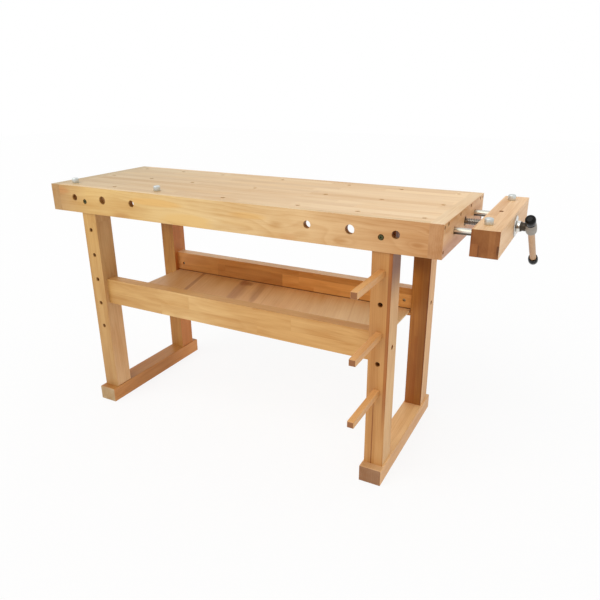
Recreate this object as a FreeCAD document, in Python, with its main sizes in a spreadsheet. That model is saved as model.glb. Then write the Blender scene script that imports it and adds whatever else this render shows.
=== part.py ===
"""Woodworking bench with an end vise: worktop with dog holes, four legs on two feet, rails, shelf,
peg holes in the front legs, and a jaw on two guide rods driven by a lead screw with a sliding handle.

Bench coordinates, in mm: x runs from the left end of the top, y from its front face to the back,
z from the floor. Each sub-part's Placement takes them to the frame, whose origin lies on the floor
below the middle of the whole part's bounding box.
"""
import FreeCAD, Part
import math
import os
import re

import Sketcher

DRIVING_SIZES = {
    # the top
    "top_long": 1500, "top_deep": 510, "top_high": 880, "apron_high": 98, "apron_thick": 21,
    "beam_thick": 40, "slab_thick": 30,
    # the dog holes
    "dog_hole_dia": 16, "dog_inset_x": 70, "dog_step_x": 200, "dog_inset_y": 55, "dog_step_y": 200,
    # legs and feet
    "leg_wide": 64, "leg_deep": 74, "leg_inset": 139, "leg_setback": 6, "tenon_wide": 40,
    "tenon_deep": 50, "tenon_long": 40, "foot_wide": 74, "foot_high": 57, "foot_over": 22,
    "foot_ease": 2,
    # rails and shelf
    "rail_thick": 42, "rail_high": 98, "rail_mid": 473, "rear_rail_lead": 18, "shelf_top": 442,
    "shelf_thick": 6, "shelf_play": 5, "cleat_wide": 20, "cleat_high": 12,
    # holes and pegs of the front legs
    "peg_hole_dia": 16, "peg_hole_deep": 45, "peg_top": 717, "peg_step": 98, "peg_side": 20,
    "peg_out": 206, "peg_tenon": 40, "peg_ease": 1.5,
    # holes in the front apron for a second vise
    "left_screw_inset": 255, "right_screw_inset": 272, "rod_inset_step": 139,
    # bolts of the aprons and rails, and the slimmer ones of the end beams
    "bolt_dia": 8, "bolt_hole": 8.4, "bolt_head_dia": 13, "bolt_head_high": 7,
    "bolt_socket_flats": 6, "bolt_socket_deep": 4, "bolt_tail": 4,
    "slim_dia": 6, "slim_hole": 6.4, "slim_head_dia": 10, "slim_head_high": 6,
    "slim_socket_flats": 5, "slim_socket_deep": 3,
    "apron_sink_dia": 18.5, "apron_sink": 8, "apron_bolt_drop": 55, "apron_bolt_off": 5,
    "rail_sink_dia": 16, "rail_sink": 14, "beam_sink_dia": 13, "beam_sink": 12,
    "beam_bolt_inset": 49.5, "beam_bolt_step": 137, "beam_bolt_drop": 9, "beam_bolt_grip": 18,
    # nuts and wood screws
    "nut_flats": 13, "nut_high": 6.5, "washer_dia": 20, "washer_thick": 1.6,
    "barrel_dia": 12, "barrel_long": 28, "barrel_inset": 32, "wood_screw_dia": 5,
    "wood_screw_long": 70, "wood_screw_head": 9.6, "beam_screw_drop": 11.5,
    "beam_screw_step": 68.5, "beam_screw_sink": 5, "small_screw_dia": 4, "small_screw_long": 34,
    "small_screw_head": 7.6, "pilot_play": 0.2, "hole_tail": 1,
    # end vise
    "vise_drop": 43, "rod_half_step": 132, "rod_dia": 20, "rod_bore": 24.5, "screw_bore": 29.5,
    "jaw_gap": 71, "jaw_wide": 74, "jaw_high": 74, "jaw_drop": 3.5, "jaw_dog_inset": 70,
    "jaw_dog_back": 30, "middle_dog_deep": 26, "rod_seat": 60, "opens_more": 83, "stop_play": 0.5,
    "running_play": 0.05, "plate_thick": 8, "plate_long": 340, "plate_high": 46, "plate_corner": 6,
    "plate_screw_inset": 12, "plate_screw_rise": 9, "boss_dia": 25, "boss_long": 30,
    "nut_block_wide": 60, "nut_block_high": 36, "tie_thick": 6, "tie_long": 310, "tie_high": 30,
    "tie_bore": 24, "stud_dia": 12, "stud_nut_flats": 18, "stud_nut_high": 9, "lead_dia": 20,
    "lead_ease": 2, "journal_dia": 18, "journal_seat": 12, "journal_bore": 21, "ring_dia": 30,
    "ring_thick": 7, "ring_bore": 31, "ring_sink": 8, "flange_dia": 62, "flange_thick": 3.5,
    "flange_pitch_dia": 48, "collar_dia": 33, "collar_long": 11, "screw_tail": 14,
    "metal_ease": 1,
    # hub and handle
    "hub_reach": 43.5, "neck_dia": 25, "neck_rim_dia": 29, "neck_rim_long": 4, "grub_dia": 6,
    "grub_long": 3, "grub_inset": 7, "eye_dia": 33, "eye_shoulder_dia": 31.2, "eye_end_dia": 27.6,
    "eye_half": 26, "eye_shoulder": 21, "eye_belly": 8, "handle_tilt": 52.5, "handle_dia": 19.6,
    "eye_play": 0.3, "rest_play": 0.1, "lower_cap_reach": 228,
    "cap_dia": 30, "cap_high": 33, "cap_seat": 16, "cap_round": 9, "cap_lip_dia": 28.4,
    "cap_lip": 5, "cap_groove_dia": 26.4, "cap_groove_start": 5.5, "cap_groove_end": 7.5,
    "cap_body_start": 9,
    # bench dogs
    "dog_head_dia": 24, "dog_head_high": 18, "dog_shank_dia": 15.6, "dog_shank_long": 60,
    "dog_ease": 2.5,
}

# places and lengths that follow from the driving sizes
DERIVED = {
    "origin_x": "(hub_x + eye_dia / 2) / 2",
    "origin_y": "(top_deep + foot_over + leg_setback - peg_out) / 2",
    "apron_base": "top_high - apron_high",
    "apron_long": "top_long - 2 * beam_thick",
    "slab_base": "top_high - slab_thick",
    "slab_deep": "top_deep - 2 * apron_thick",
    "right_beam_x": "top_long - beam_thick",
    "right_leg_x": "top_long - leg_inset - leg_wide",
    "rear_leg_y": "top_deep - leg_setback - leg_deep",
    "left_leg_mid": "leg_inset + leg_wide / 2",
    "right_leg_mid": "top_long - leg_inset - leg_wide / 2",
    "tongue_deep": "leg_deep + leg_setback - apron_thick",
    "tongue_inner": "leg_deep + leg_setback",
    "foot_side": "(foot_wide - leg_wide) / 2",
    "foot_long": "top_deep + 2 * foot_over",
    "rail_long": "top_long - 2 * leg_inset - 2 * leg_wide",
    "rail_start": "leg_inset + leg_wide",
    "rail_base": "rail_mid - rail_high / 2",
    "front_rail_y": "leg_setback + (leg_deep - rail_thick) / 2",
    "rear_rail_y": "rear_leg_y + rear_rail_lead",
    "apron_bolt_z": "top_high - apron_bolt_drop",
    "vise_y": "top_deep / 2",
    "vise_z": "top_high - vise_drop",
    "jaw_x": "top_long + jaw_gap",
    "jaw_outer": "jaw_x + jaw_wide",
    "jaw_base": "top_high - jaw_drop - jaw_high",
    "plate_x": "right_beam_x - plate_thick",
    "boss_end": "plate_x - boss_long",
    "tie_x": "boss_end - opens_more - stop_play - tie_thick",
    "screw_end": "tie_x - screw_tail",
    "collar_x": "jaw_outer + flange_thick + running_play",
    "neck_x": "collar_x + collar_long",
    "hub_x": "jaw_outer + hub_reach",
}

doc = FreeCAD.newDocument("workbench")
sheet = doc.addObject("Spreadsheet::Sheet", "Sizes")
for row, (name, size) in enumerate(DRIVING_SIZES.items(), start=1):
    sheet.set(f"A{row}", name.replace("_", " "))
    sheet.set(f"B{row}", str(size))
    sheet.setAlias(f"B{row}", name)
doc.recompute()

subparts = []


# ---------------------------------------------------------------- expressions

def bound(text):
    """The expression with derived names written out and each size read from the sheet."""
    def write_out(match):
        word = match.group()
        if word in DERIVED:
            return "(" + bound(DERIVED[word]) + ")"
        return "Sizes." + word if word in DRIVING_SIZES else word
    return re.sub(r"[a-z][a-z_]*", write_out, str(text))


def value(text):
    """What an expression comes to now."""
    return float(sheet.evalExpression(bound(text)))


def place(piece, x, y, z, axis=(0, 0, 1), angle="0"):
    """Put an object at bench coordinates, turned about an axis."""
    turn = FreeCAD.Rotation(FreeCAD.Vector(*axis), value(angle))
    piece.Placement = FreeCAD.Placement(FreeCAD.Vector(0, 0, 0), turn)
    for letter, text, origin in (("x", x, "origin_x"), ("y", y, "origin_y"), ("z", z, "0")):
        piece.setExpression(f"Placement.Base.{letter}", bound(f"({text}) - {origin}"))


# ---------------------------------------------------------------- sketches

def drawing(body, plane, lift="0"):
    """A sketch on one of the body's own planes (XY, XZ or YZ), moved along the plane's normal."""
    sketch = body.newObject("Sketcher::SketchObject", "Drawing")
    support = next(f for f in body.Origin.OriginFeatures if f.Role == plane + "_Plane")
    sketch.AttachmentSupport = [(support, "")]
    sketch.MapMode = "FlatFace"
    sketch.setExpression("AttachmentOffset.Base.z", bound(lift))
    return sketch


def fix_point(sketch, geometry, point, across, up):
    """Dimension a point of the sketch from its origin, or keep it on an axis."""
    for kind, text, axis in (("DistanceX", across, -2), ("DistanceY", up, -1)):
        if value(text) == 0:
            sketch.addConstraint(Sketcher.Constraint("PointOnObject", geometry, point, axis))
            continue
        index = sketch.addConstraint(
            Sketcher.Constraint(kind, -1, 1, geometry, point, value(text)))
        sketch.setExpression(f"Constraints[{index}]", bound(text))


def draw_rectangle(sketch, across, up, wide, tall):
    """A rectangle with its lower left corner at (across, up)."""
    far = f"({across}) + ({wide})"
    high = f"({up}) + ({tall})"
    draw_outline(sketch, [(across, up), (far, up), (far, high), (across, high)])


def draw_outline(sketch, corners):
    """A closed outline of straight lines, each corner dimensioned."""
    start = sketch.GeometryCount
    spots = [FreeCAD.Vector(value(across), value(up), 0) for across, up in corners]
    for here, there in zip(spots, spots[1:] + spots[:1]):
        sketch.addGeometry(Part.LineSegment(here, there), False)
    for step, (across, up) in enumerate(corners):
        before = start + (step - 1) % len(corners)
        sketch.addConstraint(Sketcher.Constraint("Coincident", before, 2, start + step, 1))
        fix_point(sketch, start + step, 1, across, up)


def draw_circle(sketch, across, up, diameter):
    """A circle dimensioned from the sketch's origin."""
    middle = FreeCAD.Vector(value(across), value(up), 0)
    round_hole = Part.Circle(middle, FreeCAD.Vector(0, 0, 1), value(diameter) / 2)
    geometry = sketch.addGeometry(round_hole, False)
    fix_point(sketch, geometry, 3, across, up)
    index = sketch.addConstraint(Sketcher.Constraint("Diameter", geometry, value(diameter)))
    sketch.setExpression(f"Constraints[{index}]", bound(diameter))


def draw_hexagon(sketch, flats):
    """A hexagon about the sketch's origin, with a corner on each side of the first axis."""
    reach = f"({flats}) / {math.sqrt(3):.6f}"
    half = f"({flats}) / {2 * math.sqrt(3):.6f}"
    side = f"({flats}) / 2"
    draw_outline(sketch, [
        (reach, "0"), (half, side), (f"-({half})", side),
        (f"-({reach})", "0"), (f"-({half})", f"-({side})"), (half, f"-({side})")])


# ---------------------------------------------------------------- features

def start_body(label):
    """A body that isn't placed yet."""
    body = doc.addObject("PartDesign::Body", label)
    body.Label = label
    return body


def add_body(label, x, y, z, axis=(0, 0, 1), angle="0"):
    """A body that is a sub-part, with its own origin at a bench place."""
    body = start_body(label)
    place(body, x, y, z, axis, angle)
    subparts.append(body)
    return body


def pad(body, sketch, length, backwards=False):
    """Material from the sketch along its normal, or the other way."""
    feature = body.newObject("PartDesign::Pad", "Pad")
    feature.Profile = sketch
    feature.setExpression("Length", bound(length))
    feature.Reversed = backwards
    sketch.Visibility = False
    return feature


def cut(body, sketch, depth, along_normal=False):
    """A pocket against the sketch's normal, or along it. It has to take material away."""
    doc.recompute()
    before = body.Shape.Volume
    feature = body.newObject("PartDesign::Pocket", "Pocket")
    feature.Profile = sketch
    feature.setExpression("Length", bound(depth))
    feature.Reversed = along_normal
    sketch.Visibility = False
    doc.recompute()
    if not body.Shape.Volume < before:
        raise ValueError(f"a pocket of {body.Label} cuts nothing")
    return feature


def revolve(body, corners):
    """A turned shape about the body's Z axis. A corner is (radius, height)."""
    sketch = drawing(body, "XZ")
    draw_outline(sketch, corners)
    feature = body.newObject("PartDesign::Revolution", "Revolution")
    feature.Profile = sketch
    feature.ReferenceAxis = (sketch, ["V_Axis"])
    feature.Angle = 360
    sketch.Visibility = False
    return feature


def repeat(body, feature, role, length, count):
    """Copies of a feature in a row along one of the body's axes."""
    pattern = body.newObject("PartDesign::LinearPattern", "Row")
    pattern.Originals = [feature]
    line = next(f for f in body.Origin.OriginFeatures if f.Role == role)
    pattern.Direction = (line, [""])
    pattern.setExpression("Length", bound(length))
    pattern.Occurrences = count
    body.Tip = pattern
    return pattern


def chamfer(body, size, wanted, along=None):
    """A chamfer on the edges whose two ends pass a test, or on those of them along one axis."""
    doc.recompute()
    base = body.Tip
    names = []
    for number, edge in enumerate(base.Shape.Edges, start=1):
        run = edge.Vertexes[-1].Point - edge.Vertexes[0].Point
        straight = along is None or abs(getattr(run, along)) > 0.999 * run.Length > 0
        if straight and all(wanted(vertex.Point) for vertex in edge.Vertexes):
            names.append(f"Edge{number}")
    feature = body.newObject("PartDesign::Chamfer", "Chamfer")
    feature.Base = (base, names)
    feature.setExpression("Size", bound(size))
    body.Tip = feature
    return feature


def bore(body, plane, lift, spots, diameter, depth, along_normal=False):
    """Round holes of one diameter, drilled from one level. A spot is (across, up)."""
    sketch = drawing(body, plane, lift)
    for across, up in spots:
        draw_circle(sketch, across, up, diameter)
    return cut(body, sketch, depth, along_normal)


def block(label, x, y, z, wide, deep, high):
    """A plain piece of wood or metal with its lower left front corner at a bench place."""
    body = add_body(label, x, y, z)
    sketch = drawing(body, "XY")
    draw_rectangle(sketch, "0", "0", wide, deep)
    pad(body, sketch, high)
    return body


# ---------------------------------------------------------------- fasteners

OUTWARD_TURNS = {  # what turns a fastener's head from +Z to the way that it faces
    "left": ((0, 1, 0), -90),
    "right": ((0, 1, 0), 90),
    "front": ((1, 0, 0), 90),
    "back": ((1, 0, 0), -90),
}


def socket_bolt(label, kind, length):
    """A cap screw ("bolt" or "slim"): the head stands on z = 0, the shank hangs below it."""
    body = start_body(label)
    head = f"{kind}_head_dia / 2"
    shank = f"{kind}_dia / 2"
    high = f"{kind}_head_high"
    revolve(body, [("0", f"-({length})"), (shank, f"-({length})"), (shank, "0"),
                   (head, "0"), (head, high), ("0", high)])
    sketch = drawing(body, "XY", high)
    draw_hexagon(sketch, f"{kind}_socket_flats")
    cut(body, sketch, f"{kind}_socket_deep")
    return body


def countersunk_screw(label, diameter, length, head):
    """A wood screw: the top of its flat head is at z = 0, the point hangs below it."""
    body = start_body(label)
    sink = f"(({head}) - ({diameter})) / 2"
    shank = f"({diameter}) / 2"
    revolve(body, [("0", f"-({length})"), (shank, f"{shank} - ({length})"), (shank, f"-({sink})"),
                   (f"({head}) / 2", "0"), ("0", "0")])
    return body


def hex_nut(label, flats, high, hole, washer, washer_high):
    """A nut on its washer: the washer lies on z = 0."""
    body = start_body(label)
    base = drawing(body, "XY")
    draw_circle(base, "0", "0", washer)
    pad(body, base, washer_high)
    top = drawing(body, "XY", washer_high)
    draw_hexagon(top, flats)
    pad(body, top, high)
    bore(body, "XY", "0", [("0", "0")], hole, f"({washer_high}) + ({high})", along_normal=True)
    return body


def barrel_nut(label):
    """A cross dowel about z = 0 with its hole along x."""
    body = start_body(label)
    sketch = drawing(body, "XY", "-barrel_long / 2")
    draw_circle(sketch, "0", "0", "barrel_dia")
    pad(body, sketch, "barrel_long")
    bore(body, "YZ", "-barrel_dia", [("0", "0")], "bolt_dia + pilot_play", "2 * barrel_dia",
         along_normal=True)
    return body


def set_of(label, master, spots):
    """One node of several copies of a fastener. A spot is (x, y, z, where the head faces)."""
    copies = []
    for x, y, z, facing in spots:
        copy = doc.addObject("App::Link", f"{label}_copy")
        copy.LinkedObject = master
        axis, angle = OUTWARD_TURNS[facing]
        place(copy, x, y, z, axis, angle)
        copies.append(copy)
    group = doc.addObject("Part::Compound", label)
    group.Label = label
    group.Links = copies
    subparts.append(group)


# ---------------------------------------------------------------- the top

BEAM_BOLT_Y = [f"beam_bolt_inset + {step} * beam_bolt_step" for step in range(4)]
BEAM_SCREW_Y = ["apron_thick / 2", "top_deep - apron_thick / 2"]
BEAM_SCREW_DROPS = ["beam_screw_drop", "beam_screw_drop + beam_screw_step"]
APRON_BOLT_X = ["left_leg_mid - apron_bolt_off", "right_leg_mid - apron_bolt_off"]
DOG_COLUMNS = [
    "dog_inset_x", "dog_inset_x + dog_step_x", "dog_inset_x + 2 * dog_step_x", "top_long / 2",
    "top_long - dog_inset_x - 2 * dog_step_x", "top_long - dog_inset_x - dog_step_x",
    "top_long - dog_inset_x"]


def worktop_slab():
    """The slab between the end beams and the aprons, with three rows of dog holes."""
    body = block("worktop_slab", "beam_thick", "apron_thick", "slab_base",
                 "apron_long", "slab_deep", "slab_thick")
    level = "slab_thick - beam_bolt_drop"
    pilots = [(f"({y}) - apron_thick", level) for y in BEAM_BOLT_Y]
    deep = "beam_bolt_grip + hole_tail"
    bore(body, "YZ", "0", pilots, "slim_dia + pilot_play", deep, along_normal=True)
    bore(body, "YZ", "apron_long", pilots, "slim_dia + pilot_play", deep)
    spots = [(f"({x}) - beam_thick", "dog_inset_y - apron_thick") for x in DOG_COLUMNS]
    row = bore(body, "XY", "0", spots, "dog_hole_dia", "slab_thick", along_normal=True)
    repeat(body, row, "Y_Axis", "2 * dog_step_y", 3)


def drill_apron(body, outer, inward):
    """Sunk holes for the leg bolts and pilot holes for the screws in both ends."""
    spots = [(f"{x} - beam_thick", "apron_high - apron_bolt_drop") for x in APRON_BOLT_X]
    bore(body, "XZ", outer, spots, "apron_sink_dia", "apron_sink", along_normal=not inward)
    bore(body, "XZ", outer, spots, "bolt_hole", "apron_thick", along_normal=not inward)
    pilots = [("apron_thick / 2", f"apron_high - ({drop})") for drop in BEAM_SCREW_DROPS]
    grip = "wood_screw_long - beam_thick + beam_screw_sink + hole_tail"
    bore(body, "YZ", "0", pilots, "wood_screw_dia + pilot_play", grip, along_normal=True)
    bore(body, "YZ", "apron_long", pilots, "wood_screw_dia + pilot_play", grip)


def aprons():
    """Both aprons. The front one has two groups of holes ready for a second vise."""
    front = block("front_apron", "beam_thick", "0", "apron_base",
                  "apron_long", "apron_thick", "apron_high")
    drill_apron(front, "0", True)
    level = "apron_high - vise_drop"
    screws = ["left_screw_inset", "top_long - right_screw_inset"]
    rods = [f"{x} {side} rod_inset_step" for x in screws for side in "+-"]
    bore(front, "XZ", "0", [(f"{x} - beam_thick", level) for x in screws], "screw_bore",
         "apron_thick")
    bore(front, "XZ", "0", [(f"{x} - beam_thick", level) for x in rods], "rod_bore", "apron_thick")
    rear = block("rear_apron", "beam_thick", "top_deep - apron_thick", "apron_base",
                 "apron_long", "apron_thick", "apron_high")
    drill_apron(rear, "-apron_thick", False)


def end_beam(label, x, outer, inward):
    """A beam across the aprons' ends, with sunk holes for bolts and screws in its outer face."""
    body = block(label, x, "0", "apron_base", "beam_thick", "top_deep", "apron_high")
    spots = [(y, "apron_high - beam_bolt_drop") for y in BEAM_BOLT_Y]
    bore(body, "YZ", outer, spots, "beam_sink_dia", "beam_sink", along_normal=inward)
    bore(body, "YZ", outer, spots, "slim_hole", "beam_thick", along_normal=inward)
    screws = [(y, f"apron_high - ({drop})") for y in BEAM_SCREW_Y for drop in BEAM_SCREW_DROPS]
    bore(body, "YZ", outer, screws, "beam_sink_dia", "beam_screw_sink", along_normal=inward)
    bore(body, "YZ", outer, screws, "wood_screw_dia + pilot_play", "beam_thick",
         along_normal=inward)
    cone = "beam_screw_sink + (wood_screw_head - wood_screw_dia) / 2"
    bore(body, "YZ", outer, screws, "wood_screw_head + pilot_play", cone, along_normal=inward)
    return body


def end_beams():
    """Both end beams. The right one has the bores of the vise's rods and screw."""
    end_beam("left_end_beam", "0", "0", True)
    body = end_beam("right_end_beam", "right_beam_x", "beam_thick", False)
    level = "apron_high - vise_drop"
    rods = [("vise_y - rod_half_step", level), ("vise_y + rod_half_step", level)]
    bore(body, "YZ", "beam_thick", rods, "rod_bore", "beam_thick")
    bore(body, "YZ", "beam_thick", [("vise_y", level)], "screw_bore", "beam_thick")


def top_fasteners():
    """Bolts and screws of the end beams, bolts and nuts of the aprons."""
    bolt = socket_bolt("beam_bolt_master", "slim", "beam_thick - beam_sink + beam_bolt_grip")
    level = "top_high - beam_bolt_drop"
    spots = [("beam_sink", y, level, "left") for y in BEAM_BOLT_Y]
    spots += [("top_long - beam_sink", y, level, "right") for y in BEAM_BOLT_Y]
    set_of("end_beam_bolts", bolt, spots)

    screw = countersunk_screw("beam_screw_master", "wood_screw_dia", "wood_screw_long",
                              "wood_screw_head")
    ends = (("beam_screw_sink", "left"), ("top_long - beam_screw_sink", "right"))
    spots = [(x, y, f"top_high - ({drop})", facing) for x, facing in ends
             for y in BEAM_SCREW_Y for drop in BEAM_SCREW_DROPS]
    set_of("end_beam_screws", screw, spots)

    length = "tongue_inner - apron_sink + washer_thick + nut_high + bolt_tail"
    bolt = socket_bolt("apron_bolt_master", "bolt", length)
    spots = [(x, "apron_sink", "apron_bolt_z", "front") for x in APRON_BOLT_X]
    spots += [(x, "top_deep - apron_sink", "apron_bolt_z", "back") for x in APRON_BOLT_X]
    set_of("apron_bolts", bolt, spots)

    nut = hex_nut("apron_nut_master", "nut_flats", "nut_high", "bolt_dia + pilot_play",
                  "washer_dia", "washer_thick")
    spots = [(x, "tongue_inner", "apron_bolt_z", "back") for x in APRON_BOLT_X]
    spots += [(x, "top_deep - tongue_inner", "apron_bolt_z", "front") for x in APRON_BOLT_X]
    set_of("apron_nuts", nut, spots)


# ---------------------------------------------------------------- the stand

def leg(label, x, y, tongue_start, bolt_y, outer, inward):
    """A leg: tenon into the foot, post, and a thinner tongue behind the apron."""
    base = "foot_high - tenon_long"
    body = add_body(label, x, y, base)
    tenon = drawing(body, "XY")
    draw_rectangle(tenon, "(leg_wide - tenon_wide) / 2", "(leg_deep - tenon_deep) / 2",
                   "tenon_wide", "tenon_deep")
    pad(body, tenon, "tenon_long")
    post = drawing(body, "XY", "tenon_long")
    draw_rectangle(post, "0", "0", "leg_wide", "leg_deep")
    pad(body, post, "apron_base - foot_high")
    tongue = drawing(body, "XY", f"apron_base - ({base})")
    draw_rectangle(tongue, "0", tongue_start, "leg_wide", "tongue_deep")
    pad(body, tongue, "apron_high - slab_thick")
    apron_bolt = [("leg_wide / 2 - apron_bolt_off", f"apron_bolt_z - ({base})")]
    bore(body, "XZ", "0", apron_bolt, "bolt_hole", "leg_deep")
    rail_bolt = [(bolt_y, f"rail_mid - ({base})")]
    bore(body, "YZ", outer, rail_bolt, "rail_sink_dia", "rail_sink", along_normal=inward)
    bore(body, "YZ", outer, rail_bolt, "bolt_hole", "leg_wide", along_normal=inward)
    return body


def legs():
    """Four legs. The front ones have a column of peg holes."""
    tongue_front = "apron_thick - leg_setback"
    front_bolt = "leg_deep / 2"
    rear_bolt = "rear_rail_lead + rail_thick / 2"
    sides = (("left", "leg_inset", "0", True), ("right", "right_leg_x", "leg_wide", False))
    for side, x, outer, inward in sides:
        front = leg(f"front_{side}_leg", x, "leg_setback", tongue_front, front_bolt, outer, inward)
        first = bore(front, "XZ", "0", [("leg_wide / 2", "peg_top - foot_high + tenon_long")],
                     "peg_hole_dia", "peg_hole_deep")
        row = repeat(front, first, "Z_Axis", "4 * peg_step", 5)
        row.Reversed = True
        leg(f"rear_{side}_leg", x, "rear_leg_y", "0", rear_bolt, outer, inward)


def feet():
    """Two feet, each with a mortise for both of its legs."""
    for side, x in (("left", "leg_inset"), ("right", "right_leg_x")):
        body = block(f"{side}_foot", f"{x} - foot_side", "-foot_over", "0",
                     "foot_wide", "foot_long", "foot_high")
        mortise = drawing(body, "XY", "foot_high")
        for y in ("leg_setback", "rear_leg_y"):
            draw_rectangle(mortise, "(foot_wide - tenon_wide) / 2",
                           f"foot_over + {y} + (leg_deep - tenon_deep) / 2",
                           "tenon_wide", "tenon_deep")
        cut(body, mortise, "tenon_long + hole_tail")
        wide = value("foot_wide")
        long = value("foot_long")
        high = value("foot_high")
        chamfer(body, "foot_ease", lambda p: p.z > high - 0.1 and (
            min(p.x, wide - p.x) < 0.1 or min(p.y, long - p.y) < 0.1))


def rails():
    """The long rails, with a bolt hole in each end and a cross hole for its barrel nut."""
    ends = ["barrel_inset", "rail_long - barrel_inset"]
    deep = "(rail_thick + barrel_long) / 2"
    middle = [("rail_thick / 2", "rail_high / 2")]
    for label, y, inner, inward in (("front_rail", "front_rail_y", "-rail_thick", False),
                                    ("rear_rail", "rear_rail_y", "0", True)):
        body = block(label, "rail_start", y, "rail_base", "rail_long", "rail_thick", "rail_high")
        reach = "barrel_inset + barrel_dia / 2 + bolt_tail"
        bore(body, "YZ", "0", middle, "bolt_hole", reach, along_normal=True)
        bore(body, "YZ", "rail_long", middle, "bolt_hole", reach)
        cross = [(x, "rail_high / 2") for x in ends]
        bore(body, "XZ", inner, cross, "barrel_dia + pilot_play", deep, along_normal=not inward)


def stand_fasteners():
    """Bolts and barrel nuts that hold the rails between the legs."""
    front_y = "leg_setback + leg_deep / 2"
    rear_y = "rear_rail_y + rail_thick / 2"
    length = "leg_wide - rail_sink + barrel_inset + barrel_dia / 2 + bolt_tail / 2"
    bolt = socket_bolt("rail_bolt_master", "bolt", length)
    spots = [("leg_inset + rail_sink", y, "rail_mid", "left") for y in (front_y, rear_y)]
    spots += [("top_long - leg_inset - rail_sink", y, "rail_mid", "right")
              for y in (front_y, rear_y)]
    set_of("rail_bolts", bolt, spots)

    nut = barrel_nut("barrel_nut_master")
    ends = ("rail_start + barrel_inset", "rail_start + rail_long - barrel_inset")
    spots = [(x, y, "rail_mid", "front") for x in ends for y in (front_y, rear_y)]
    set_of("rail_barrel_nuts", nut, spots)


def shelf():
    """The shelf panel on two cleats, which are screwed to the rails' inner faces."""
    front_inner = "front_rail_y + rail_thick"
    block("shelf_panel", "rail_start + shelf_play", front_inner, "shelf_top - shelf_thick",
          "rail_long - 2 * shelf_play", f"rear_rail_y - ({front_inner})", "shelf_thick")
    cleat_base = "shelf_top - shelf_thick - cleat_high"
    count = 5
    columns = [f"rail_long * {2 * step + 1} / {2 * count}" for step in range(count)]
    grip = "small_screw_long - cleat_wide + hole_tail"
    screw = countersunk_screw("cleat_screw_master", "small_screw_dia", "small_screw_long",
                              "small_screw_head")
    spots = []
    for label, rail, y, face, facing in (
            ("front", "front_rail", front_inner, f"{front_inner} + cleat_wide", "back"),
            ("rear", "rear_rail", "rear_rail_y - cleat_wide", "rear_rail_y - cleat_wide", "front")):
        body = block(f"{label}_shelf_cleat", "rail_start", y, cleat_base, "rail_long",
                     "cleat_wide", "cleat_high")
        holes = [(x, "cleat_high / 2") for x in columns]
        outer = "-cleat_wide" if facing == "back" else "0"
        away = facing == "back"
        bore(body, "XZ", outer, holes, "small_screw_dia + pilot_play", "cleat_wide",
             along_normal=away)
        sink = "(small_screw_head - small_screw_dia) / 2"
        bore(body, "XZ", outer, holes, "small_screw_head + pilot_play", sink, along_normal=away)
        beam = doc.getObject(rail)
        pilots = [(x, f"{cleat_base} + cleat_high / 2 - rail_base") for x in columns]
        inner = "-rail_thick" if facing == "back" else "0"
        bore(beam, "XZ", inner, pilots, "small_screw_dia + pilot_play", grip, along_normal=away)
        spots += [(f"rail_start + {x}", face, f"{cleat_base} + cleat_high / 2", facing)
                  for x in columns]
    set_of("cleat_screws", screw, spots)


def pegs():
    """Three square pegs with round tenons in the holes of the right front leg."""
    for name, step in (("upper", 0), ("middle", 2), ("lower", 4)):
        body = add_body(f"{name}_peg", "right_leg_mid", "leg_setback", f"peg_top - {step} * peg_step")
        square = drawing(body, "XZ")
        draw_rectangle(square, "-peg_side / 2", "-peg_side / 2", "peg_side", "peg_side")
        pad(body, square, "peg_out")
        tip = -value("peg_out")
        chamfer(body, "peg_ease", lambda p: p.y < tip + 0.1)
        tenon = drawing(body, "XZ")
        draw_circle(tenon, "0", "0", "peg_hole_dia - pilot_play")
        pad(body, tenon, "peg_tenon", backwards=True)


# ---------------------------------------------------------------- the end vise

ROD_SIDES = (("front", "vise_y - rod_half_step"), ("rear", "vise_y + rod_half_step"))


def guide_plate():
    """The cast plate behind the right end beam: two bosses guide the rods, a block is the nut."""
    low = "vise_z + boss_dia / 2 - plate_high"
    body = add_body("vise_guide_plate", "plate_x", "vise_y", low)
    axis_up = f"vise_z - ({low})"
    face = drawing(body, "YZ")
    draw_rectangle(face, "-plate_long / 2", "0", "plate_long", "plate_high")
    pad(body, face, "plate_thick")
    bosses = drawing(body, "YZ")
    for side in "-+":
        draw_circle(bosses, f"0 {side} rod_half_step", axis_up, "boss_dia")
    pad(body, bosses, "boss_long", backwards=True)
    nut = drawing(body, "YZ")
    draw_rectangle(nut, "-nut_block_wide / 2", "plate_high - nut_block_high", "nut_block_wide",
                   "nut_block_high")
    pad(body, nut, "boss_long", backwards=True)
    half = value("plate_long") / 2
    chamfer(body, "plate_corner", lambda p: half - abs(p.y) < 0.1, along="x")
    spots = [(f"0 {side} rod_half_step", axis_up) for side in "-+"]
    through = "boss_long + plate_thick"
    bore(body, "YZ", "-boss_long", spots, "rod_dia + 2 * running_play", through, along_normal=True)
    bore(body, "YZ", "-boss_long", [("0", axis_up)], "lead_dia + 2 * running_play", through,
         along_normal=True)
    corners = [(f"{side} (plate_long / 2 - plate_screw_inset)", up) for side in ("-", "1 *")
               for up in ("plate_screw_rise", "plate_high - plate_screw_rise")]
    bore(body, "YZ", "0", corners, "wood_screw_dia + 2 * pilot_play", "plate_thick",
         along_normal=True)
    sink = "(wood_screw_head - wood_screw_dia) / 2"
    bore(body, "YZ", "0", corners, "wood_screw_head + 2 * pilot_play", sink, along_normal=True)
    screw = countersunk_screw("plate_screw_master", "wood_screw_dia", "small_screw_long",
                              "wood_screw_head")
    set_of("guide_plate_screws", screw, [
        ("plate_x", f"vise_y + ({y})", f"{low} + {up}", "left") for y, up in corners])
    beam = doc.getObject("right_end_beam")
    pilots = [(f"vise_y + ({y})", f"{low} + {up} - apron_base") for y, up in corners]
    bore(beam, "YZ", "0", pilots, "wood_screw_dia + pilot_play",
         "small_screw_long - plate_thick + hole_tail", along_normal=True)


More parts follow.
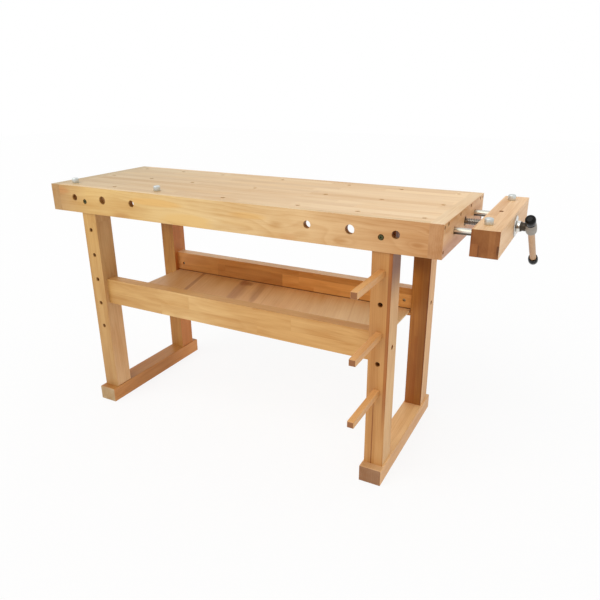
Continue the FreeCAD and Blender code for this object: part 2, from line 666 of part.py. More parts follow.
def jaw():
    """The sliding jaw, with dog holes, blind seats for the rods and a bore for the screw."""
    body = block("vise_jaw", "jaw_x", "0", "jaw_base", "jaw_wide", "top_deep", "jaw_high")
    level = "vise_z - jaw_base"
    ends = [("jaw_dog_back", "jaw_dog_inset"), ("jaw_dog_back", "top_deep - jaw_dog_inset")]
    bore(body, "XY", "jaw_high", ends, "dog_hole_dia", "jaw_high")
    bore(body, "XY", "jaw_high", [("jaw_dog_back", "vise_y")], "dog_hole_dia", "middle_dog_deep")
    rods = [(y, level) for side, y in ROD_SIDES]
    bore(body, "YZ", "0", rods, "rod_dia + pilot_play", "rod_seat", along_normal=True)
    bore(body, "YZ", "0", [("vise_y", level)], "journal_bore", "jaw_wide", along_normal=True)
    bore(body, "YZ", "0", [("vise_y", level)], "ring_bore", "ring_sink", along_normal=True)
    pilots = [(f"vise_y + {y}", f"{level} + {z}") for y, z in flange_spots()]
    bore(body, "YZ", "jaw_wide", pilots, "small_screw_dia + pilot_play",
         "small_screw_long - flange_thick + hole_tail")


def guide_rods():
    """Two steel rods: seated in the jaw, turned down to a stud for the tie plate."""
    shank = "jaw_x + rod_seat - tie_x - tie_thick"
    stud = "tie_thick + washer_thick + stud_nut_high + bolt_tail"
    for side, y in ROD_SIDES:
        body = add_body(f"{side}_guide_rod", "jaw_x + rod_seat", y, "vise_z", (0, 1, 0), "-90")
        rod = "rod_dia / 2"
        thin = "stud_dia / 2"
        end = f"{shank} + {stud}"
        revolve(body, [("0", "0"), (f"{rod} - metal_ease", "0"), (rod, "metal_ease"),
                       (rod, shank), (thin, shank), (thin, f"{end} - metal_ease"),
                       (f"{thin} - metal_ease", end), ("0", end)])


def tie_plate():
    """The plate that ties the rods' inner ends together, with its nuts."""
    low = "vise_z - tie_high + rod_dia / 2"
    body = block("rod_tie_plate", "tie_x", "vise_y - tie_long / 2", low,
                 "tie_thick", "tie_long", "tie_high")
    long = value("tie_long")
    chamfer(body, "plate_corner", lambda p: min(p.y, long - p.y) < 0.1, along="x")
    axis_up = f"vise_z - ({low})"
    ends = [(f"tie_long / 2 {side} rod_half_step", axis_up) for side in "-+"]
    bore(body, "YZ", "tie_thick", ends, "stud_dia + pilot_play", "tie_thick")
    bore(body, "YZ", "tie_thick", [("tie_long / 2", axis_up)], "tie_bore", "tie_thick")
    nut = hex_nut("stud_nut_master", "stud_nut_flats", "stud_nut_high", "stud_dia + pilot_play",
                  "washer_dia", "washer_thick")
    set_of("rod_nuts", nut, [("tie_x", y, "vise_z", "left") for side, y in ROD_SIDES])


def flange_spots():
    """The four screws of the flange, on the corners of a square about the screw's axis."""
    reach = f"flange_pitch_dia / {2 * math.sqrt(2):.6f}"
    return [(f"{a} {reach}", f"{b} {reach}") for a in ("-1 *", "1 *") for b in ("-1 *", "1 *")]


def flange():
    """The round plate on the jaw's outer face in which the screw's journal turns."""
    body = add_body("vise_flange", "jaw_outer", "vise_y", "vise_z", (0, 1, 0), "90")
    rim = "flange_dia / 2"
    hole = "journal_dia / 2 + running_play"
    revolve(body, [(hole, "0"), (rim, "0"), (rim, "flange_thick - metal_ease"),
                   (f"{rim} - metal_ease", "flange_thick"), (hole, "flange_thick")])
    spots = flange_spots()
    bore(body, "XY", "flange_thick", spots, "small_screw_dia + 2 * pilot_play", "flange_thick")
    sink = "(small_screw_head - small_screw_dia) / 2"
    bore(body, "XY", "flange_thick", spots, "small_screw_head + 2 * pilot_play", sink)
    screw = countersunk_screw("flange_screw_master", "small_screw_dia", "small_screw_long",
                              "small_screw_head")
    set_of("flange_screws", screw, [
        ("jaw_outer + flange_thick", f"vise_y + {y}", f"vise_z + {z}", "right")
        for y, z in spots])


def lead_screw():
    """The screw with its journal, the ring that draws the jaw, and the thrust collar."""
    body = add_body("lead_screw", "screw_end", "vise_y", "vise_z", (0, 1, 0), "90")
    major = "lead_dia / 2"
    journal = "journal_dia / 2"
    shoulder = "jaw_x - screw_end"
    end = "neck_x + journal_seat - screw_end"
    revolve(body, [("0", "0"), (f"{major} - lead_ease", "0"), (major, "lead_ease"),
                   (major, shoulder), (journal, shoulder), (journal, end), ("0", end)])

    ring = add_body("screw_ring", "jaw_x", "vise_y", "vise_z", (0, 1, 0), "90")
    outer = "ring_dia / 2"
    revolve(ring, [(journal, "0"), (outer, "0"), (outer, "ring_thick"), (journal, "ring_thick")])

    collar = add_body("thrust_collar", "collar_x", "vise_y", "vise_z", (0, 1, 0), "90")
    outer = "collar_dia / 2"
    revolve(collar, [(journal, "0"), (f"{outer} - metal_ease", "0"), (outer, "metal_ease"),
                     (outer, "collar_long - metal_ease"), (f"{outer} - metal_ease", "collar_long"),
                     (journal, "collar_long")])


def handle_hub():
    """The hub on the screw's end: a neck along the screw, a bellied eye along the handle."""
    body = add_body("handle_hub", "hub_x", "vise_y", "vise_z", (1, 0, 0), "handle_tilt")
    half = [("eye_dia / 2", "eye_belly"), ("eye_shoulder_dia / 2", "eye_shoulder"),
            ("eye_end_dia / 2", "eye_half"), ("0", "eye_half")]
    revolve(body, [(across, f"-{up}") for across, up in reversed(half)] + half)
    neck = drawing(body, "YZ", "neck_x - hub_x")
    draw_circle(neck, "0", "0", "neck_dia")
    pad(body, neck, "hub_x - neck_x")
    rim = drawing(body, "YZ", "neck_x - hub_x")
    draw_circle(rim, "0", "0", "neck_rim_dia")
    pad(body, rim, "neck_rim_long")
    bore(body, "XY", "eye_half", [("0", "0")], "handle_dia + 2 * eye_play", "2 * eye_half")
    bore(body, "YZ", "neck_x - hub_x", [("0", "0")], "journal_dia", "journal_seat",
         along_normal=True)
    bore(body, "XZ", "neck_dia / 2", [("neck_x - hub_x + grub_inset", "0")], "grub_dia",
         "(neck_dia - journal_dia) / 2")

    grub = add_body("hub_grub_screw", "neck_x + grub_inset", "vise_y", "vise_z", (1, 0, 0),
                    "handle_tilt")
    stub = drawing(grub, "XZ", "journal_dia / 2")
    draw_circle(stub, "0", "0", "grub_dia")
    pad(grub, stub, "grub_long")


def handle():
    """The wooden handle and its two caps, which stop against the eye."""
    where = ("hub_x", "vise_y", "vise_z", (1, 0, 0), "handle_tilt")
    upper = "eye_half + rest_play"
    shaft = add_body("handle_shaft", *where)
    low = "-lower_cap_reach - cap_seat"
    high = f"{upper} + cap_seat"
    radius = "handle_dia / 2"
    thin = f"{radius} - metal_ease"
    revolve(shaft, [("0", low), (thin, low), (radius, f"{low} + metal_ease"),
                    (radius, f"{high} - metal_ease"), (thin, high), ("0", high)])
    for name, base, way in (("upper", upper, 1), ("lower", "-lower_cap_reach", -1)):
        cap = add_body(f"{name}_handle_cap", *where)
        revolve(cap, cap_outline(base, way))
        bore(cap, "XY", base, [("0", "0")], "handle_dia", "cap_seat", along_normal=way > 0)


def cap_outline(base, way):
    """Half a cap: a lip, a groove, and a wider body whose end is rounded in short steps."""
    rising = [("0", "0"), ("cap_lip_dia / 2", "0"), ("cap_lip_dia / 2", "cap_lip"),
              ("cap_groove_dia / 2", "cap_groove_start"), ("cap_groove_dia / 2", "cap_groove_end"),
              ("cap_dia / 2", "cap_body_start")]
    steps = 4
    for step in range(steps + 1):
        angle = math.pi / 2 * step / steps
        rising.append((f"cap_dia / 2 - cap_round * {1 - math.cos(angle):.5f}",
                       f"cap_high - cap_round * {1 - math.sin(angle):.5f}"))
    rising.append(("0", "cap_high"))
    return [(across, f"{base} + {way} * ({up})") for across, up in rising]


def bench_dogs():
    """Four round steel dogs: two in the worktop, two in the jaw. Each rests on its head."""
    jaw_dog_x = "jaw_x + jaw_dog_back"
    jaw_top = "top_high - jaw_drop"
    spots = {
        "left_bench_dog": ("dog_inset_x", "dog_inset_y", "top_high"),
        "middle_bench_dog": ("dog_inset_x + 2 * dog_step_x", "dog_inset_y", "top_high"),
        "front_jaw_dog": (jaw_dog_x, "jaw_dog_inset", jaw_top),
        "rear_jaw_dog": (jaw_dog_x, "top_deep - jaw_dog_inset", jaw_top),
    }
    head = "dog_head_dia / 2"
    shank = "dog_shank_dia / 2"
    foot = "-dog_shank_long"
    for label, (x, y, z) in spots.items():
        body = add_body(label, x, y, z)
        revolve(body, [("0", foot), (f"{shank} - dog_ease", foot), (shank, f"{foot} + dog_ease"),
                       (shank, "0"), (f"{head} - metal_ease", "0"), (head, "metal_ease"),
                       (head, "dog_head_high - dog_ease"), (f"{head} - dog_ease", "dog_head_high"),
                       ("0", "dog_head_high")])


# ---------------------------------------------------------------- build, test and write

def write_parts():
    """Recompute, refuse any failed object or bad shape, and write one file for each sub-part."""
    doc.recompute()
    for item in doc.Objects:
        if {"Invalid", "Error"} & set(item.State):
            raise ValueError(f"{item.Name} failed: {item.State}")
    for piece in subparts:
        if piece.Shape.isNull() or not piece.Shape.isValid():
            raise ValueError(f"{piece.Label} has no valid shape")
    os.makedirs("parts", exist_ok=True)
    for piece in subparts:
        piece.Shape.exportStep(f"parts/{piece.Label}.step")


worktop_slab()
aprons()
end_beams()
top_fasteners()
legs()
feet()
rails()
stand_fasteners()
shelf()
pegs()
guide_plate()
jaw()
guide_rods()
tie_plate()
flange()
lead_screw()
handle_hub()
handle()
bench_dogs()
write_parts()
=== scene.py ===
import math

import bmesh
import bpy
from mathutils import Matrix, Vector


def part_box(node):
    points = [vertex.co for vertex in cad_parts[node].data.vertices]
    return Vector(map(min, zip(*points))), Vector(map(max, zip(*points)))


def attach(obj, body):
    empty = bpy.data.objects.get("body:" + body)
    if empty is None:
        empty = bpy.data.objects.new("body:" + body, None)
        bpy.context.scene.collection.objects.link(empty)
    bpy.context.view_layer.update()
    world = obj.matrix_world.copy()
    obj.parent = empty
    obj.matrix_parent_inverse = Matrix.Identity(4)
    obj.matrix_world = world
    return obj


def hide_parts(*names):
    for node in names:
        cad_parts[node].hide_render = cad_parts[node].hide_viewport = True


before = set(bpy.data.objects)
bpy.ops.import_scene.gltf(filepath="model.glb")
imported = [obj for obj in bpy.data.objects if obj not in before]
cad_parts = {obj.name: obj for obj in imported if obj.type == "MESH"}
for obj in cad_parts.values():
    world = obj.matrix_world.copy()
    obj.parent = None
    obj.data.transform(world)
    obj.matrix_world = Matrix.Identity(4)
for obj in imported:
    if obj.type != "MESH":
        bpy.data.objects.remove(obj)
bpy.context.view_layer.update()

# Places are in metres. Bench coordinates run from the left front lower corner of the top's
# outline on the floor: x to the right, y to the back, z up.
left_beam_low, left_beam_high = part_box("left_end_beam")
BENCH_X = left_beam_low.x
BENCH_Y = left_beam_low.y
TOP_HIGH = left_beam_high.z
TOP_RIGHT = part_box("right_end_beam")[1].x


def bench(x, y, z):
    """A place on the bench as a place in the frame."""
    return Vector((BENCH_X + x, BENCH_Y + y, z))


# ---------------------------------------------------------------- building materials

# A Mix node has sockets of every type. These are the places of the ones for colours.
MIX_SHARE = 0
MIX_FIRST = 6
MIX_SECOND = 7
MIX_RESULT = 2

WHITE = (1.0, 1.0, 1.0, 1.0)


class Finish:
    """A material under construction. Each call adds a node and gives the socket that it feeds."""

    def __init__(self, name):
        self.material = bpy.data.materials.new(name)
        self.material.use_nodes = True
        self.tree = self.material.node_tree
        self.tree.nodes.clear()

    @classmethod
    def for_tree(cls, tree):
        """The same calls for a tree that belongs to something else, such as the world."""
        made = cls.__new__(cls)
        made.tree = tree
        tree.nodes.clear()
        return made

    def node(self, kind, inputs=None, **settings):
        """A node with its settings, and its inputs by name or number: values or sockets."""
        made = self.tree.nodes.new("ShaderNode" + kind)
        for setting, value in settings.items():
            setattr(made, setting, value)
        for key, value in (inputs or {}).items():
            self.feed(made.inputs[key], value)
        return made

    def feed(self, socket, value):
        """Link a socket to another one, or set it to a plain value."""
        if isinstance(value, bpy.types.NodeSocket):
            self.tree.links.new(value, socket)
        else:
            socket.default_value = value

    def calc(self, operation, first, second=0.0, third=0.0):
        inputs = {0: first, 1: second, 2: third}
        return self.node("Math", inputs, operation=operation).outputs[0]

    def plus(self, first, *others):
        for other in others:
            first = self.calc("ADD", first, other)
        return first

    def minus(self, first, second):
        return self.calc("SUBTRACT", first, second)

    def times(self, first, second):
        return self.calc("MULTIPLY", first, second)

    def over(self, first, second):
        return self.calc("DIVIDE", first, second)

    def centred(self, value):
        """A number from 0 to 1 as one from -0.5 to 0.5."""
        return self.minus(value, 0.5)

    def squares(self, first, second):
        """The sum of two squares."""
        return self.plus(self.times(first, first), self.times(second, second))

    def distance(self, first, second):
        return self.calc("SQRT", self.squares(first, second))

    def span(self, value, low, high, start=0.0, end=1.0):
        """The value's way from low to high, as a number from start to end."""
        inputs = {"Value": value, "From Min": low, "From Max": high, "To Min": start, "To Max": end}
        return self.node("MapRange", inputs, interpolation_type="SMOOTHSTEP").outputs[0]

    def mix(self, share, first, second, blend="MIX"):
        """Two colours mixed or blended, by a share."""
        inputs = {MIX_SHARE: share, MIX_FIRST: first, MIX_SECOND: second}
        made = self.node("Mix", inputs, data_type="RGBA", blend_type=blend, clamp_result=True)
        return made.outputs[MIX_RESULT]

    def tint(self, colour, filter_colour):
        """A colour seen through a coloured filter."""
        return self.mix(1.0, colour, filter_colour, "MULTIPLY")

    def ramp(self, share, stops):
        """A colour ramp. A stop is (place, colour)."""
        made = self.node("ValToRGB", {"Fac": share})
        elements = made.color_ramp.elements
        while len(elements) < len(stops):
            elements.new(1.0)
        for element, (place, colour) in zip(elements, stops):
            element.position = place
            element.color = colour
        return made.outputs[0]

    def coordinates(self, kind):
        """x, y and z of the point on the piece (Object) or of the way that it looks (Normal)."""
        here = self.node("TexCoord").outputs[kind]
        return self.node("SeparateXYZ", {0: here}).outputs

    def vector(self, x, y, z):
        return self.node("CombineXYZ", {0: x, 1: y, 2: z}).outputs[0]

    def noise(self, where, scale, detail=2.0, roughness=0.5):
        inputs = {"Vector": where, "Scale": scale, "Detail": detail, "Roughness": roughness}
        return self.node("TexNoise", inputs).outputs["Fac"]

    def chance(self, where):
        """A number and a colour, drawn by chance for each place."""
        return self.node("TexWhiteNoise", {"Vector": where}, noise_dimensions="3D").outputs

    def finish(self, colour, roughness, bump, bump_deep, metallic=0.0, **sockets):
        """The shader itself. The bump is a height from 0 to 1, worth bump_deep metres."""
        ridge = {"Height": bump, "Strength": 1.0, "Distance": bump_deep}
        inputs = {"Base Color": colour, "Roughness": roughness, "Metallic": metallic,
                  "Normal": self.node("Bump", ridge).outputs[0]}
        for name, value in sockets.items():
            inputs[name.replace("_", " ")] = value
        shader = self.node("BsdfPrincipled", inputs)
        self.node("OutputMaterial", {"Surface": shader.outputs[0]})
        return self.material


def srgb(red, green, blue):
    """A colour from its 0 to 255 values, as the shaders want it."""
    def linear(level):
        share = level / 255
        return share / 12.92 if share <= 0.04045 else ((share + 0.055) / 1.055) ** 2.4
    return (linear(red), linear(green), linear(blue), 1.0)


# ---------------------------------------------------------------- wood

AXES = {"X": 0, "Y": 1, "Z": 2}

# How squarely a surface faces an axis where it starts to count as a side or as a cut end, and
# where it counts in full.
FACING = (0.7, 0.9)
END_FACING = (0.6, 0.8)

# Streaks of the grain: noise cells to the metre along and across the fibres, and detail.
BANDS = (1.3, 38.0, 3.0)
CLOUDS = (3.6, 15.0, 3.0)
FIBRES = (6.0, 420.0, 3.0)
PORES = (70.0, 1300.0, 1.0)
PORE_SPAN = (0.12, 0.25)
STREAK_ROUGHNESS = 0.6
CLOUD_SEED = 7.0

# Glued staves. The first two keep the count of staves above zero. The next three set staves
# apart by chance: where a row of them starts, their grain, and how far off their pith lies.
STAVES_BEFORE_ACROSS = 20.0
STAVES_BEFORE_ALONG = 40.0
ROW_SEED = 3.0
STAVE_SHIFT = 37.0
STAVE_SWING = 0.12
SEAM_HALF = 0.00040
SEAM_SHADE = 0.45

# Year rings, and the slow noise that bends them. The first keeps the count above zero.
YEARS_BEFORE = 40.0
LATE_MIDDLE = 0.45
LATE_WOOD = [(0.0, (0.0, 0.0, 0.0, 1.0)), (0.60, (0.45, 0.45, 0.45, 1.0)), (0.84, WHITE),
             (1.0, (0.0, 0.0, 0.0, 1.0))]
BEND_RATE_ALONG = 1.6
BEND_RATE_ACROSS = 9.0
BEND_DEEP = 0.060

# Knots: how little a step along the grain counts, and then, in knot sizes, how far they reach,
# how far they push the rings outwards and how wide their core is.
KNOT_STRETCH = 0.40
KNOT_REACH = 4.0
KNOT_BEND = 1.5
KNOT_CORE = 1.4
KNOT_SHADE = 0.8

# Shades of the oiled surface.
SHADE_MIDDLE = 0.40
FIBRE_SHADE = 0.9
PORE_SHADE = 0.25
AMBER = (1.0, 0.93, 0.78, 1.0)
AMBER_CLOUDS = 3.0
BLOT_RAGGED = 2.2
BLOT_EDGE = 1.1
BLOT_SHARE = 0.75
# Hole walls darken deeper in: partly the darker end grain of the drilled wood, partly painted
# shade.
HOLE_START = 0.0008
HOLE_DARK = 0.0060
HOLE_GRAIN_AND_SHADE = (0.52, 0.39, 0.28, 1.0)

# Gloss and relief of the oiled surface.
OILED_SHINE = 0.30
OILED_ROUGHNESS = 0.44
FIBRE_ROUGHNESS = 0.18
FIBRE_HEIGHT = 0.5
LATE_HEIGHT = 0.25
PORE_DEPTH = 0.35
RELIEF_DEEP = 0.00018


class Wood(Finish):
    """Oiled hardwood under construction, and where each point of the board lies in its grain.

    along, across and deep lead along the fibres, across the board and into it. lot and hue are
    chances that are the same all over one glued stave, and seam is 1 on the glue lines.
    """

    def __init__(self, piece, grain, stave, spread, seam_half, lean, seed):
        super().__init__(piece + "_wood")
        self.low, self.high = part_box(piece)
        self.fibre_axis = grain[0]
        self.spread = spread
        self.seed = seed
        self.place = self.coordinates("Object")
        self.normal = self.coordinates("Normal")
        self.along, self.across, self.deep = (self.place[AXES[letter]] for letter in grain)
        slope, pivot = lean
        if slope:
            drift = self.times(self.minus(self.along, pivot), slope)
            self.across = self.minus(self.across, drift)
        self.lot, self.hue, self.seam = self.glued_staves(stave, seam_half)
        self.lot_shift = self.times(self.lot, STAVE_SHIFT if spread else 0.0)
        self.band = self.streaks(*BANDS, seed)
        self.cloud = self.streaks(*CLOUDS, seed + CLOUD_SEED)
        self.fibre = self.streaks(*FIBRES, seed)
        self.pore = self.span(self.streaks(*PORES, seed), *PORE_SPAN)

    def glued_staves(self, stave, seam_half):
        """Two chances that are the same all over one stave, and lines where staves meet."""
        wide, long = stave
        rows = self.over(self.plus(self.across, STAVES_BEFORE_ACROSS), wide)
        row = self.calc("FLOOR", rows)
        row_chance = self.chance(self.vector(row, self.seed, ROW_SEED))["Value"]
        start = self.times(row_chance, long)
        columns = self.over(self.plus(self.along, STAVES_BEFORE_ALONG, start), long)
        column = self.calc("FLOOR", columns)
        chances = self.chance(self.vector(row, column, self.seed))["Color"]
        lot, hue, _ = self.node("SeparateColor", {0: chances}).outputs
        seam = 0.0
        for steps, size in ((rows, wide), (columns, long)):
            part = self.calc("FRACT", steps)
            edge = self.calc("MINIMUM", part, self.minus(1.0, part))
            seam = self.calc("MAXIMUM", seam, self.calc("LESS_THAN", edge, seam_half / size))
        return lot, hue, seam

    def streaks(self, rate_along, rate_across, detail, offset):
        """Noise that is long along the grain, from about -0.5 to 0.5."""
        where = self.vector(self.times(self.along, rate_along),
                            self.plus(self.times(self.across, rate_across), offset),
                            self.plus(self.times(self.deep, rate_across), self.lot_shift))
        return self.centred(self.noise(where, 1.0, detail, STREAK_ROUGHNESS))

    def year_rings(self, heart, ring, taper, knots):
        """Where the late wood of the rings lies, and how dark the knots are."""
        slow = self.vector(self.times(self.along, BEND_RATE_ALONG),
                           self.times(self.across, BEND_RATE_ACROSS),
                           self.plus(self.times(self.deep, BEND_RATE_ACROSS),
                                     self.plus(self.lot_shift, self.seed)))
        bend = self.times(self.centred(self.noise(slow, 1.0)), BEND_DEEP)
        swing = self.times(self.centred(self.lot), STAVE_SWING if self.spread else 0.0)
        sideways = self.plus(self.minus(self.across, heart[0]), swing)
        inwards = self.minus(self.deep, heart[1])
        radius = self.distance(sideways, inwards)
        radius = self.plus(radius, self.times(self.along, taper), bend)
        radius, knot_shade = self.bent_by_knots(radius, knots)
        year = self.calc("FRACT", self.plus(self.over(radius, ring), YEARS_BEFORE))
        return self.ramp(year, LATE_WOOD), knot_shade

    def bent_by_knots(self, radius, knots):
        """The rings pushed outwards round the knots, and how dark the knots are."""
        shade = 0.0
        for knot_along, knot_across, size in knots:
            off_along = self.times(self.minus(self.along, knot_along), KNOT_STRETCH)
            off_across = self.minus(self.across, knot_across)
            away = self.distance(off_along, off_across)
            near = self.span(away, 0.0, KNOT_REACH * size, 1.0, 0.0)
            radius = self.plus(radius, self.times(near, KNOT_BEND * size))
            core = self.span(away, 0.0, KNOT_CORE * size, 1.0, 0.0)
            shade = self.plus(shade, self.times(core, KNOT_SHADE))
        return radius, shade

    def shade(self, late, knot_shade, rings, bands, clouds):
        """How far each point goes from the board's own colour towards its darkest."""
        share = self.times(self.minus(late, LATE_MIDDLE), rings)
        for part, weight in ((self.band, bands), (self.cloud, clouds), (self.fibre, FIBRE_SHADE),
                             (self.centred(self.lot), self.spread)):
            share = self.plus(share, self.times(part, weight))
        return self.plus(share, knot_shade, SHADE_MIDDLE)

    def on_side(self, side):
        """1 on the sides that look along an axis, such as "+Z" or "-Y"."""
        way = self.normal[AXES[side[1]]]
        if side[0] == "-":
            way = self.times(way, -1.0)
        return self.span(way, *FACING)

    def board_colour(self, tones, run, faces, end, patches):
        """The colour along the board, on whole sides, on the cut ends and in patches."""
        axis = AXES[run or self.fibre_axis]
        whole = self.high[axis] - self.low[axis]
        base = self.ramp(self.over(self.minus(self.place[axis], self.low[axis]), whole), tones)
        for side, colour in faces:
            base = self.mix(self.on_side(side), base, colour)
        if end is not None:
            facing = self.calc("ABSOLUTE", self.normal[AXES[self.fibre_axis]])
            base = self.mix(self.span(facing, *END_FACING), base, end)
        for side, colour, *limits in patches:
            grown = self.on_side(side)
            for letter, start, full in limits:
                grown = self.times(grown, self.span(self.place[AXES[letter]], start, full))
            base = self.mix(grown, base, colour)
        return base

    def blotted(self, base, blots):
        """The colour with its blots, whose edges follow the streaks of the grain."""
        for middle_along, middle_across, half_long, half_wide, colour in blots:
            off_along = self.over(self.minus(self.along, middle_along), half_long)
            off_across = self.over(self.minus(self.across, middle_across), half_wide)
            ragged = self.times(self.plus(self.band, self.cloud), BLOT_RAGGED)
            away = self.plus(self.squares(off_along, off_across), ragged)
            base = self.mix(self.span(away, BLOT_EDGE, 0.0, 0.0, BLOT_SHARE), base, colour)
        return base

    def hole_depth(self):
        """0 on the outside of the board and 1 on the walls of its holes, deep in."""
        nearest = 1.0
        for place, low, high in zip(self.place, self.low, self.high):
            inwards = self.calc("MINIMUM", self.minus(place, low), self.minus(high, place))
            nearest = self.calc("MINIMUM", nearest, inwards)
        return self.span(nearest, HOLE_START, HOLE_DARK)

    def oiled(self, base, dark, share, holes):
        """The colour with its late wood, warm clouds, pores, glue lines and shaded holes."""
        deep_tone = self.tint(base, dark)
        colour = self.mix(share, base, deep_tone)
        warmth = self.calc("MAXIMUM", self.times(self.cloud, AMBER_CLOUDS),
                           self.times(self.hue, self.spread))
        colour = self.mix(warmth, colour, self.tint(colour, AMBER))
        colour = self.mix(self.times(self.pore, PORE_SHADE), colour, deep_tone)
        if self.spread:
            colour = self.mix(self.times(self.seam, SEAM_SHADE), colour, deep_tone)
        if holes:
            # The hole walls: partly darker end grain, partly painted shade.
            colour = self.mix(self.hole_depth(), colour, self.tint(colour, HOLE_GRAIN_AND_SHADE))
        return colour

    def relief(self, late):
        """Fibres and late wood stand up a little, and pores are sunk."""
        raised = self.plus(self.times(self.fibre, FIBRE_HEIGHT), self.times(late, LATE_HEIGHT))
        return self.minus(raised, self.times(self.pore, PORE_DEPTH))


def wood(piece, grain, tones, dark=(0.76, 0.63, 0.48, 1.0), end=None, faces=(), patches=(),
         blots=(), knots=(), run=None, heart=(0.0, 0.06), ring=0.0075, rings=0.30, bands=1.5,
         clouds=1.6, taper=0.02, stave=(1.0, 9.0), spread=0.0, seam_half=SEAM_HALF,
         lean=(0.0, 0.0), seed=0.0, holes=True):
    """Oiled hardwood cut from a cone of year rings.

    grain names three axes: along the fibres, across the board, and into it. tones are the
    board's colours at shares of its way along the fibres or along the axis run, and dark is
    what the late wood and the darker bands make of them. end colours the cut ends, and faces
    whole sides. A patch is (side, colour, limits ...): it keeps to one side, within limits that
    past and short_of make. A blot is (along, across, half its length, half its width, colour),
    with soft streaky edges, and a knot (along, across, size).

    heart is where the pith lies across and into the board, ring the width of a year, and taper
    how fast the rings drift along the board, which draws the arches of flat-sawn wood. rings,
    bands and clouds are how strongly each of them shows. stave is the width and length of the
    glued pieces, seam_half half the width of a glue line, and spread how far the pieces differ.
    lean is how far the fibres run off across the board in a metre, and the place along it that
    they turn about. seed gives a board a grain of its own, and holes says that it has holes,
    whose walls darken with their end grain and with painted shade.
    """
    f = Wood(piece, grain, stave, spread, seam_half, lean, seed)
    late, knot_shade = f.year_rings(heart, ring, taper, knots)
    share = f.shade(late, knot_shade, rings, bands, clouds)
    base = f.blotted(f.board_colour(tones, run, faces, end, patches), blots)
    roughness = f.plus(OILED_ROUGHNESS, f.times(f.fibre, FIBRE_ROUGHNESS))
    return f.finish(f.oiled(base, dark, share, holes), roughness, f.relief(late), RELIEF_DEEP,
                    Specular_IOR_Level=OILED_SHINE)


def past(letter, place, soft):
    """A patch's limit: only past a place along an axis, with an edge this soft."""
    return (letter, place, place + soft)


def short_of(letter, place, soft):
    """A patch's limit: only before a place along an axis, with an edge this soft."""
    return (letter, place, place - soft)


def even(colour):
    """One tone for the whole length of a board."""
    return [(0.0, colour), (1.0, colour)]


def fading(first, last):
    """Tones that run evenly from one end of a board to the other."""
    return [(0.0, first), (1.0, last)]


# ---------------------------------------------------------------- wood of the top

def slab_wood():
    """A pale slab glued of short staves."""
    tones = [(0.0, srgb(208, 183, 142)), (0.25, srgb(218, 189, 146)), (0.5, srgb(230, 198, 152)),
             (1.0, srgb(243, 211, 168))]
    return wood("worktop_slab", "XYZ", tones, dark=(0.80, 0.70, 0.58, 1.0),
                heart=(BENCH_Y + 0.2, 0.80), stave=(0.0425, 0.46), spread=0.65,
                rings=0.18, bands=1.05, clouds=1.1, seed=1.0)


def front_apron_wood():
    """One wide golden board with knots, arches and warm blots."""
    tones = [(0.0, srgb(199, 158, 104)), (0.10, srgb(225, 187, 120)), (0.30, srgb(224, 187, 124)),
             (0.50, srgb(230, 197, 142)), (0.75, srgb(225, 186, 134)), (1.0, srgb(205, 155, 104))]
    knots = ((BENCH_X + 0.980, 0.825, 0.011),
             (BENCH_X + 1.200, 0.800, 0.010),
             (BENCH_X + 1.430, 0.815, 0.009),
             (BENCH_X + 1.465, 0.855, 0.005))
    blots = ((BENCH_X + 0.045, 0.858, 0.050, 0.018, srgb(204, 146, 86)),
             (BENCH_X + 0.340, 0.775, 0.060, 0.030, srgb(202, 154, 94)),
             (BENCH_X + 0.640, 0.795, 0.110, 0.026, srgb(226, 184, 114)),
             (BENCH_X + 0.500, 0.850, 0.120, 0.014, srgb(226, 178, 104)),
             (BENCH_X + 0.870, 0.842, 0.080, 0.014, srgb(228, 182, 112)),
             (BENCH_X + 1.020, 0.790, 0.050, 0.016, srgb(216, 168, 114)))
    return wood("front_apron", "XZY", tones, faces=(("+Z", srgb(229, 198, 150)),),
                knots=knots, blots=blots, heart=(0.800, BENCH_Y + 0.065), ring=0.0100,
                taper=0.028, rings=0.36, bands=1.2, clouds=1.9, seed=2.0)


def rear_apron_wood():
    """A plainer board than the front one, paler on top."""
    return wood("rear_apron", "XZY", fading(srgb(208, 166, 108), srgb(200, 154, 98)),
                faces=(("+Z", srgb(231, 200, 157)),), heart=(0.86, BENCH_Y + 0.56), seed=3.0)


def left_end_beam_wood():
    """The beam at the far end, a shade duller than the right one."""
    return wood("left_end_beam", "YZX", fading(srgb(208, 164, 116), srgb(212, 168, 118)),
                faces=(("+Z", srgb(200, 177, 135)),), end=srgb(188, 148, 96),
                heart=(0.80, BENCH_X + 0.6), seed=4.0)


def right_end_beam_wood():
    """The beam behind the vise, rosy low down on its outer side."""
    rosy_below = ("+X", srgb(216, 166, 128), short_of("Z", TOP_HIGH - 0.045, soft=0.035))
    return wood("right_end_beam", "YZX", fading(srgb(226, 182, 136), srgb(222, 176, 134)),
                faces=(("+X", srgb(242, 200, 146)), ("+Z", srgb(243, 214, 172))),
                patches=(rosy_below,), end=srgb(193, 143, 96),
                heart=(0.80, BENCH_X + 0.6), seed=5.0)


# ---------------------------------------------------------------- wood of the stand

LEG_STAVE = 0.0256
RAIL_STAVE = 0.0492
SHELF_BOARD = 0.36153


def leg_wood(piece, low_down, high_up, side, patches, seed):
    """A leg laminated of two staves, in its own tones low down, high up and on its +X side."""
    return wood(piece, "ZXY", fading(low_down, high_up), faces=(("+X", side),),
                patches=patches, stave=(LEG_STAVE, 2.0), spread=0.40, rings=0.28, clouds=1.9,
                heart=(BENCH_X + 0.3, BENCH_Y - 0.05), seed=seed)


def front_left_leg_wood():
    """Golden, and paler low down on its +X side, as painted light from the floor."""
    # Painted light: the +X side is paler low down, where the white floor lights it.
    painted_light_low = ("+X", srgb(231, 193, 148), short_of("Z", 0.55, soft=0.30))
    return leg_wood("front_left_leg", low_down=srgb(191, 150, 99), high_up=srgb(213, 171, 104),
                    side=srgb(213, 175, 124), patches=(painted_light_low,), seed=6.0)


